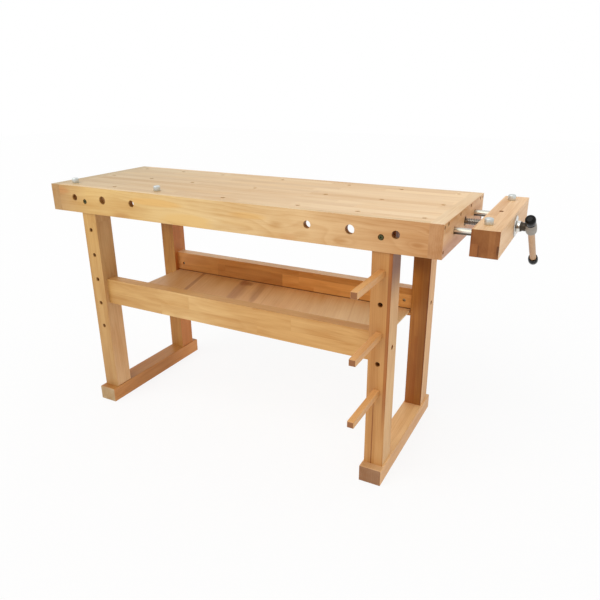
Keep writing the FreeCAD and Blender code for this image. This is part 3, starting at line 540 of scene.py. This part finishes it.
def front_right_leg_wood():
    """Red along its right front edge, with a thin joint line low down."""
    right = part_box("front_right_leg")[1].x
    # Painted shade: the top of the +X side, in the shade of the top and the end beam.
    painted_shade_top = ("+X", srgb(140, 86, 41), past("Z", 0.610, soft=0.130))
    red_edge = ("-Y", srgb(172, 110, 58), past("X", right - 0.0112, soft=0.0006),
                past("Z", 0.12, soft=0.22))
    joint_line = ("-Y", srgb(150, 96, 50), past("X", BENCH_X + 1.3190, soft=0.0010),
                  short_of("X", BENCH_X + 1.3235, soft=0.0015), short_of("Z", 0.34, soft=0.08))
    return leg_wood("front_right_leg", low_down=srgb(200, 150, 94), high_up=srgb(198, 146, 88),
                    side=srgb(228, 184, 126), patches=(painted_shade_top, red_edge, joint_line), seed=7.0)


def rear_left_leg_wood():
    """Brown, with a paler stretch halfway up its front."""
    pale_middle = ("-Y", srgb(196, 141, 66), short_of("Z", 0.660, soft=0.070),
                   past("Z", 0.40, soft=0.05))
    return leg_wood("rear_left_leg", low_down=srgb(184, 133, 70), high_up=srgb(176, 120, 55),
                    side=srgb(206, 134, 72), patches=(pale_middle,), seed=8.0)


def rear_right_leg_wood():
    """Dark on its front, darker to the right, and in painted shade at the top."""
    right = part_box("rear_right_leg")[1].x
    dark_half = ("-Y", srgb(162, 105, 48), past("X", right - 0.040, soft=0.024))
    # Painted shade: the top of the front, in the shadow of the apron.
    painted_shade_top = ("-Y", srgb(146, 90, 28), past("Z", 0.560, soft=0.080))
    dark_edge = ("-Y", srgb(140, 86, 40), past("X", right - 0.006, soft=0.002))
    return leg_wood("rear_right_leg", low_down=srgb(167, 103, 48), high_up=srgb(204, 141, 63),
                    side=srgb(228, 177, 118), patches=(dark_half, painted_shade_top, dark_edge), seed=9.0)


def foot_wood(piece, tones, top, toe, end, seed):
    """A foot, with a top of its own tone and another one on the toe before the front leg."""
    leg_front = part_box("front_right_leg")[0].y
    toe_patch = ("+Z", toe, short_of("Y", leg_front + 0.001, soft=0.001))
    return wood(piece, "YXZ", tones, faces=(("+Z", top),), patches=(toe_patch,), end=end,
                rings=0.25, heart=(BENCH_X + 0.4, -0.06), seed=seed)


def left_foot_wood():
    """Darker in the middle than at its front and rear."""
    tones = [(0.0, srgb(212, 151, 90)), (0.35, srgb(194, 136, 78)), (0.6, srgb(194, 136, 78)),
             (0.9, srgb(230, 166, 104))]
    return foot_wood("left_foot", tones, top=srgb(180, 127, 68), toe=srgb(180, 127, 68),
                     end=srgb(187, 161, 123), seed=10.0)


def right_foot_wood():
    """Pale all along, with a darker toe and a dark front end."""
    return foot_wood("right_foot", even(srgb(234, 182, 122)), top=srgb(251, 208, 150),
                     toe=srgb(206, 164, 116), end=srgb(155, 114, 80), seed=11.0)


def front_rail_wood():
    """Two rows of staves, palest left of the middle."""
    tones = [(0.0, srgb(206, 162, 99)), (0.35, srgb(226, 188, 130)), (0.6, srgb(214, 169, 108)),
             (1.0, srgb(211, 163, 101))]
    return wood("front_rail", "XZY", tones, faces=(("+Z", srgb(214, 170, 108)),),
                stave=(RAIL_STAVE, 0.42), spread=0.40, rings=0.24, clouds=1.9,
                heart=(0.473, BENCH_Y - 0.08), seed=12.0)


def rear_rail_wood():
    """A darker and a paler stave under the glue line, and painted shadow along the shelf."""
    shelf_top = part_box("shelf_panel")[1].z
    glue_line = 0.497
    soft = 0.001
    dark_start = BENCH_X + 0.4215
    pale_start = BENCH_X + 0.7440
    below_line = short_of("Z", glue_line, soft)
    pale_stave = ("-Y", srgb(250, 188, 110), past("X", pale_start, soft), below_line)
    dark_stave = ("-Y", srgb(217, 155, 87), past("X", dark_start, soft),
                  short_of("X", pale_start + soft, soft), below_line)
    # Painted shadow: a dark line on the rail's front just above the shelf.
    painted_shelf_shadow = ("-Y", srgb(120, 72, 36), short_of("Z", shelf_top + 0.005, soft=0.004))
    return wood("rear_rail", "XZY", fading(srgb(231, 170, 98), srgb(221, 158, 86)),
                faces=(("+Z", srgb(247, 211, 165)),),
                patches=(pale_stave, dark_stave, painted_shelf_shadow),
                stave=(RAIL_STAVE, 0.36), spread=0.35, clouds=1.8,
                heart=(0.473, BENCH_Y + 0.3), seed=13.0)


def cleat_wood(piece):
    """Plain wood for the two cleats that carry the shelf."""
    return wood(piece, "XZY", even(srgb(206, 150, 92)), seed=14.0)


def shelf_wood():
    """Wide thin boards side by side, a little askew, with dark blots near the left end."""
    middle = BENCH_Y + 0.347
    # The tones run along x and darken the left part: painted shade of the top and the legs.
    tones = [(0.0, srgb(230, 192, 143)), (0.25, srgb(224, 178, 116)), (0.6, srgb(248, 208, 152)),
             (0.8, srgb(254, 226, 178)), (1.0, srgb(254, 230, 184))]
    blots = ((middle, BENCH_X + 0.377, 0.600, 0.0100, srgb(180, 130, 88)),
             (BENCH_Y + 0.330, BENCH_X + 0.602, 0.150, 0.036, srgb(190, 140, 96)),
             (BENCH_Y + 0.350, BENCH_X + 0.685, 0.130, 0.026, srgb(194, 144, 98)),
             (BENCH_Y + 0.412, BENCH_X + 0.610, 0.030, 0.034, srgb(170, 116, 74)))
    return wood("shelf_panel", "YXZ", tones, blots=blots, run="X", stave=(SHELF_BOARD, 3.0),
                spread=0.30, seam_half=0.0022, ring=0.016, rings=0.10, bands=0.6, clouds=1.2,
                heart=(0.1, 0.30), lean=(-0.27, middle), seed=15.0)


def peg_wood(piece, seed):
    """A square stick with dark cut ends."""
    return wood(piece, "YZX", fading(srgb(228, 175, 114), srgb(222, 168, 106)),
                end=srgb(148, 97, 58), rings=0.2, heart=(0.4, BENCH_X), seed=seed)


# ---------------------------------------------------------------- wood of the vise

def jaw_wood():
    """The laminated jaw, with the glued blocks that its front end shows."""
    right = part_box("vise_jaw")[1].x
    block_top = 0.837
    dull_stretch = ("+X", srgb(240, 199, 152), past("Y", BENCH_Y + 0.12, soft=0.28))
    pale_block = ("-Y", srgb(158, 101, 52), short_of("X", right - 0.0532, soft=0.0008),
                  short_of("Z", block_top + 0.0008, soft=0.0008))
    joint_line = ("-Y", srgb(124, 75, 34), past("X", right - 0.0545, soft=0.0015),
                  short_of("X", right - 0.0480, soft=0.0040),
                  short_of("Z", block_top, soft=0.006))
    middle_stave = ("-Y", srgb(156, 101, 53), past("X", right - 0.0278, soft=0.0008))
    right_stave = ("-Y", srgb(146, 92, 46), past("X", right - 0.0122, soft=0.0006))
    dark_block = ("-Y", srgb(106, 64, 28), past("X", right - 0.0072, soft=0.0022),
                  short_of("Z", block_top + 0.002, soft=0.002),
                  past("Z", block_top - 0.034, soft=0.020))
    return wood("vise_jaw", "YXZ", fading(srgb(234, 192, 141), srgb(244, 204, 158)),
                faces=(("+X", srgb(250, 212, 168)),), end=srgb(145, 91, 43),
                patches=(dull_stretch, pale_block, joint_line, middle_stave, right_stave,
                         dark_block),
                stave=(0.0247, 0.8), spread=0.40, rings=0.22, heart=(BENCH_X + 1.3, 0.70),
                seed=19.0)


def handle_wood():
    """A turned stick of plain, even wood."""
    return wood("handle_shaft", "YZX", fading(srgb(208, 174, 138), srgb(204, 168, 130)),
                rings=0.1, bands=0.6, clouds=0.6, seed=20.0, holes=False)


# ---------------------------------------------------------------- metal and plastic

# Turning marks to the metre, along a turned piece and around it.
MARKS_ALONG = 900.0
MARKS_AROUND = 60.0
SMEAR_SCALE = 45.0
SMEAR_SPAN = (0.45, 0.75)
SMEAR_SHARE = 0.5
SMEAR_TONE = (0.7, 0.7, 0.7, 1.0)
SMEAR_ROUGHNESS = 0.2


def steel(name, colour, roughness, marks_deep, painted_reflections=()):
    """Steel with fine turning or rolling marks and faint smears.

    painted_reflections are colours by the way that the surface looks, from down (0)
    to up (1): a painted reflection of the room that a bright round piece mirrors.
    """
    f = Finish(name)
    x, y, z = f.coordinates("Object")
    marks = f.noise(f.vector(f.times(x, MARKS_ALONG), f.times(y, MARKS_AROUND),
                             f.times(z, MARKS_AROUND)), 1.0)
    smear = f.noise(f.vector(x, y, z), SMEAR_SCALE, detail=3.0)
    base = colour
    if painted_reflections:
        # Painted reflection: a colour for each way that the surface looks.
        down_to_up = f.calc("MULTIPLY_ADD", f.coordinates("Normal")["Z"], 0.5, 0.5)
        base = f.ramp(down_to_up, painted_reflections)
    smeared = f.span(smear, *SMEAR_SPAN, 0.0, SMEAR_SHARE)
    shade = f.mix(smeared, base, f.tint(base, SMEAR_TONE))
    rough = f.plus(roughness, f.times(f.centred(smear), SMEAR_ROUGHNESS))
    return f.finish(shade, rough, marks, marks_deep, metallic=1.0)


HUB_EYE_LONG = 0.0325
NECK_FADE = 0.004
PEBBLE_SCALE = 900.0
PEBBLE_DEEP = 0.00012
STAIN_SCALE = 60.0


def grey_casting():
    """Grey cast metal with a pebbled skin, dark along the hub's neck."""
    f = Finish("grey_casting")
    x, y, z = f.coordinates("Object")
    here = f.vector(x, y, z)
    pebble = f.noise(here, PEBBLE_SCALE, detail=3.0)
    stain = f.noise(here, STAIN_SCALE, detail=3.0)
    grey = f.mix(stain, srgb(128, 122, 112), srgb(180, 172, 160))
    eye_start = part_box("handle_hub")[1].x - HUB_EYE_LONG
    before_eye = f.span(x, eye_start, eye_start + NECK_FADE, 1.0, 0.0)
    outside_bench = f.calc("GREATER_THAN", x, TOP_RIGHT)
    colour = f.mix(f.times(before_eye, outside_bench), grey, srgb(72, 64, 54))
    return f.finish(colour, roughness=0.42, bump=pebble, bump_deep=PEBBLE_DEEP, metallic=0.75)


WAVE_SCALE = 260.0
WAVE_DEEP = 0.00004


def black_plastic():
    """Glossy black moulding with the faintest waviness."""
    f = Finish("black_plastic")
    x, y, z = f.coordinates("Object")
    wave = f.noise(f.vector(x, y, z), WAVE_SCALE)
    colour = f.mix(wave, srgb(8, 8, 7), srgb(18, 18, 16))
    return f.finish(colour, roughness=0.12, bump=wave, bump_deep=WAVE_DEEP,
                    Specular_IOR_Level=0.16)


# How deep the marks of each way of working the metal are.
POLISHED_MARKS = 0.00001
GROUND_MARKS = 0.00002
TURNED_MARKS = 0.00003


def ground_rod_steel():
    """Painted reflection: bright above, dark below, a duller strip along the upper side."""
    painted_reflections = [(0.0, srgb(82, 74, 64)), (0.36, srgb(104, 96, 86)), (0.46, srgb(214, 206, 194)),
              (0.62, srgb(228, 222, 212)), (0.70, srgb(172, 170, 154)),
              (0.82, srgb(164, 162, 146)), (0.89, srgb(222, 218, 208)),
              (1.0, srgb(198, 194, 184))]
    return steel("ground_rod_steel", srgb(214, 214, 212), roughness=0.22,
                 marks_deep=GROUND_MARKS, painted_reflections=painted_reflections)


def polished_collar_steel():
    """Painted reflection: bright above and below, with a dark strip between."""
    painted_reflections = [(0.0, srgb(214, 210, 202)), (0.36, srgb(226, 222, 214)),
              (0.45, srgb(126, 114, 102)), (0.58, srgb(138, 126, 112)),
              (0.68, srgb(208, 204, 196)), (1.0, srgb(236, 236, 232))]
    return steel("polished_collar_steel", srgb(214, 214, 212), roughness=0.16,
                 marks_deep=POLISHED_MARKS, painted_reflections=painted_reflections)


def screw_steel():
    return steel("screw_steel", srgb(142, 134, 124), roughness=0.24, marks_deep=TURNED_MARKS)


def bright_steel():
    return steel("bright_steel", srgb(206, 204, 200), roughness=0.22, marks_deep=GROUND_MARKS)


def satin_dog_steel():
    return steel("satin_dog_steel", srgb(210, 215, 213), roughness=0.38, marks_deep=TURNED_MARKS)


def dark_steel():
    return steel("dark_steel", srgb(128, 120, 110), roughness=0.30, marks_deep=TURNED_MARKS)


def olive_bolt_steel():
    return steel("olive_bolt_steel", srgb(92, 92, 62), roughness=0.36, marks_deep=TURNED_MARKS)


def zinc_steel():
    return steel("zinc_steel", srgb(196, 192, 172), roughness=0.30, marks_deep=TURNED_MARKS)


# Painted shade: the heads sit deep in their holes, so they are given a near-black colour.
def sunk_bolt_painted_shade_steel():
    return steel("sunk_bolt_painted_shade_steel", srgb(52, 46, 36), roughness=0.45, marks_deep=TURNED_MARKS)


# ---------------------------------------------------------------- pieces

WOOD_EDGE = 0.0009
METAL_EDGE = 0.0004
WELD_REACH = 0.00001
FLAT_ANGLE = math.radians(1.0)
EDGE_ANGLE = math.radians(40.0)

BENCH_DOGS = ("left_bench_dog", "middle_bench_dog", "front_jaw_dog", "rear_jaw_dog")
HANDLE_CAPS = ("upper_handle_cap", "lower_handle_cap")
BROKEN_EDGES = BENCH_DOGS + HANDLE_CAPS + ("handle_hub", "vise_flange", "thrust_collar")


def paint(name, material):
    """Give a piece of the frame its material."""
    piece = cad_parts[name]
    piece.data.materials.clear()
    piece.data.materials.append(material)


def soften(name, width):
    """Round a piece's edges a little, as sandpaper does."""
    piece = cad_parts[name]
    piece.modifiers.new("Join", "WELD").merge_threshold = WELD_REACH
    flat = piece.modifiers.new("Flat faces", "DECIMATE")
    flat.decimate_type = "DISSOLVE"
    flat.angle_limit = FLAT_ANGLE
    bevel = piece.modifiers.new("Sanded edges", "BEVEL")
    bevel.width = width
    bevel.segments = 2
    bevel.limit_method = "ANGLE"
    bevel.angle_limit = EDGE_ANGLE


def finish_joinery():
    """The finish and the sanded edges of every wooden piece but the handle."""
    finishes = {
        "worktop_slab": slab_wood(),
        "front_apron": front_apron_wood(),
        "rear_apron": rear_apron_wood(),
        "left_end_beam": left_end_beam_wood(),
        "right_end_beam": right_end_beam_wood(),
        "front_left_leg": front_left_leg_wood(),
        "front_right_leg": front_right_leg_wood(),
        "rear_left_leg": rear_left_leg_wood(),
        "rear_right_leg": rear_right_leg_wood(),
        "left_foot": left_foot_wood(),
        "right_foot": right_foot_wood(),
        "front_rail": front_rail_wood(),
        "rear_rail": rear_rail_wood(),
        "shelf_panel": shelf_wood(),
        "vise_jaw": jaw_wood(),
    }
    for name in ("front_shelf_cleat", "rear_shelf_cleat"):
        finishes[name] = cleat_wood(name)
    for seed, name in enumerate(("upper_peg", "middle_peg", "lower_peg"), start=16):
        finishes[name] = peg_wood(name, float(seed))
    for name, finish in finishes.items():
        paint(name, finish)
        soften(name, WOOD_EDGE)


def finish_hardware():
    """The metal and plastic of each piece, and the broken edges of the larger ones."""
    finishes = {
        ground_rod_steel(): ("front_guide_rod", "rear_guide_rod"),
        polished_collar_steel(): ("thrust_collar",),
        bright_steel(): ("vise_flange",),
        satin_dog_steel(): BENCH_DOGS,
        dark_steel(): ("screw_ring", "hub_grub_screw", "rod_tie_plate"),
        olive_bolt_steel(): ("apron_bolts",),
        zinc_steel(): ("apron_nuts", "rail_bolts", "rail_barrel_nuts", "cleat_screws",
                       "guide_plate_screws", "flange_screws", "rod_nuts"),
        sunk_bolt_painted_shade_steel(): ("end_beam_bolts", "end_beam_screws"),
        grey_casting(): ("handle_hub", "vise_guide_plate"),
        black_plastic(): HANDLE_CAPS,
    }
    for finish, names in finishes.items():
        for name in names:
            paint(name, finish)
    for name in BROKEN_EDGES:
        soften(name, METAL_EDGE)


THREAD_PITCH = 0.005
THREAD_CREST = 0.0100
THREAD_ROOT = 0.0077
THREAD_FLAT = 0.0016
THREAD_STEPS = 28
THREAD_START_LONG = 0.001
THREAD_START_STEP = 0.0003
THREAD_END_LONG = 0.001
JOURNAL_RADIUS = 0.009
BAR_SEGMENTS = 32


def wind_thread(shape, start, middle, turns):
    """Wind the outline of one pitch of a trapezoidal thread up the screw's axis."""
    flank = THREAD_PITCH / 2 - THREAD_FLAT
    outline = [(0.0, THREAD_ROOT), (THREAD_FLAT, THREAD_ROOT), (THREAD_FLAT + flank, THREAD_CREST),
               (2 * THREAD_FLAT + flank, THREAD_CREST), (THREAD_PITCH, THREAD_ROOT)]
    points = [shape.verts.new((start + step, middle.y, middle.z + radius))
              for step, radius in outline]
    edges = [shape.edges.new(pair) for pair in zip(points, points[1:])]
    bmesh.ops.spin(shape, geom=points + edges, cent=middle, axis=(1.0, 0.0, 0.0),
                   dvec=(THREAD_PITCH / THREAD_STEPS, 0.0, 0.0), angle=turns * math.tau,
                   steps=turns * THREAD_STEPS)
    bmesh.ops.remove_doubles(shape, verts=shape.verts, dist=WELD_REACH)
    side = next(iter(shape.faces))
    side.normal_update()
    if side.normal.dot(side.calc_center_median() - middle) < 0:
        bmesh.ops.reverse_faces(shape, faces=shape.faces)


def add_bar(shape, start, end, middle, radius):
    """A plain round bar on the screw's axis."""
    centre = Vector(((start + end) / 2, middle.y, middle.z))
    turn = Matrix.Translation(centre) @ Matrix.Rotation(math.pi / 2, 4, "Y")
    bmesh.ops.create_cone(shape, cap_ends=True, segments=BAR_SEGMENTS, radius1=radius,
                          radius2=radius, depth=end - start, matrix=turn)


def make_threaded_screw():
    """The lead screw: the thread on its core up to the jaw, then the plain journal."""
    low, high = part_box("lead_screw")
    middle = (low + high) / 2
    jaw_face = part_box("vise_jaw")[0].x
    turns = int((jaw_face - low.x) / THREAD_PITCH) - 1
    thread_end = low.x + (turns + 1) * THREAD_PITCH
    shape = bmesh.new()
    wind_thread(shape, low.x, middle, turns)
    add_bar(shape, low.x, low.x + THREAD_START_LONG, middle, THREAD_CREST - THREAD_START_STEP)
    add_bar(shape, thread_end - THREAD_END_LONG, jaw_face, middle, THREAD_CREST)
    add_bar(shape, jaw_face, high.x, middle, JOURNAL_RADIUS)
    add_bar(shape, low.x, jaw_face, middle, THREAD_ROOT)
    mesh = bpy.data.meshes.new("threaded_screw")
    shape.to_mesh(mesh)
    shape.free()
    piece = bpy.data.objects.new("threaded_screw", mesh)
    bpy.context.scene.collection.objects.link(piece)
    mesh.materials.append(screw_steel())
    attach(piece, "screw")
    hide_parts("lead_screw")


# ---------------------------------------------------------------- floor, light and camera

CAMERA_BENCH_PLACE = (1.8654, -1.5031, 1.2424)
CAMERA_TURN = math.radians(28.044)
CAMERA_DOWN = math.radians(20.918)
CAMERA_ROLL = math.radians(-0.408)
CAMERA_LENS = 34.64
CAMERA_SENSOR = 36.0
CAMERA_NEAR = 0.05
FLOOR_HALF = 12.0
FLOOR_COLOUR = (0.95, 0.95, 0.95, 1.0)
FLOOR_WHITE_SHARE = 0.86
ROOM_LIGHT = 0.76
KEY_LIGHT = 1.05
KEY_ANGLE = math.radians(50.0)
KEY_COMES_FROM = (-0.35, -0.75, 0.85)


def seen_directly(f):
    """1 where the camera, a reflection or a clear piece sees the surface, 0 for soft light."""
    path = f.node("LightPath").outputs
    seen = f.calc("MAXIMUM", path["Is Camera Ray"], path["Is Glossy Ray"])
    return f.calc("MAXIMUM", seen, path["Is Transmission Ray"])


def make_floor():
    """A white studio floor that keeps a faint shadow."""
    mesh = bpy.data.meshes.new("floor")
    shape = bmesh.new()
    bmesh.ops.create_grid(shape, x_segments=1, y_segments=1, size=FLOOR_HALF)
    shape.to_mesh(mesh)
    shape.free()
    floor = bpy.data.objects.new("floor", mesh)
    bpy.context.scene.collection.objects.link(floor)
    f = Finish("floor_white")
    matt = f.node("BsdfDiffuse", {"Color": FLOOR_COLOUR}).outputs[0]
    white = f.node("Emission", {"Color": WHITE, "Strength": 1.0}).outputs[0]
    share = f.times(seen_directly(f), FLOOR_WHITE_SHARE)
    blend = f.node("MixShader", {0: share, 1: matt, 2: white})
    f.node("OutputMaterial", {"Surface": blend.outputs[0]})
    mesh.materials.append(f.material)


def make_world():
    """A white room: even light, and plain white where the camera or a reflection sees it."""
    world = bpy.data.worlds.new("studio")
    bpy.context.scene.world = world
    world.use_nodes = True
    f = Finish.for_tree(world.node_tree)
    strength = f.node("MapRange", {"Value": seen_directly(f), "To Min": ROOM_LIGHT, "To Max": 1.0})
    back = f.node("Background", {"Color": WHITE, "Strength": strength.outputs[0]})
    f.node("OutputWorld", {"Surface": back.outputs[0]})


def make_key_light():
    """A large soft light from the front left, above."""
    lamp = bpy.data.lights.new("key", "SUN")
    lamp.energy = KEY_LIGHT
    lamp.angle = KEY_ANGLE
    key = bpy.data.objects.new("key", lamp)
    bpy.context.scene.collection.objects.link(key)
    key.rotation_mode = "QUATERNION"
    key.rotation_quaternion = Vector(KEY_COMES_FROM).to_track_quat("Z", "Y")


def make_camera():
    """The camera, standing to the right of the bench and above it."""
    lens = bpy.data.cameras.new("camera")
    lens.sensor_width = CAMERA_SENSOR
    lens.lens = CAMERA_LENS
    lens.clip_start = CAMERA_NEAR
    camera = bpy.data.objects.new("camera", lens)
    bpy.context.scene.collection.objects.link(camera)
    turn = (Matrix.Rotation(CAMERA_TURN, 4, "Z")
            @ Matrix.Rotation(math.pi / 2 - CAMERA_DOWN, 4, "X")
            @ Matrix.Rotation(CAMERA_ROLL, 4, "Z"))
    camera.matrix_world = Matrix.Translation(bench(*CAMERA_BENCH_PLACE)) @ turn
    bpy.context.scene.camera = camera


finish_joinery()
paint("handle_shaft", handle_wood())
finish_hardware()
make_threaded_screw()
make_floor()
make_world()
make_key_light()
make_camera()
bpy.context.scene.view_settings.view_transform = "Standard"
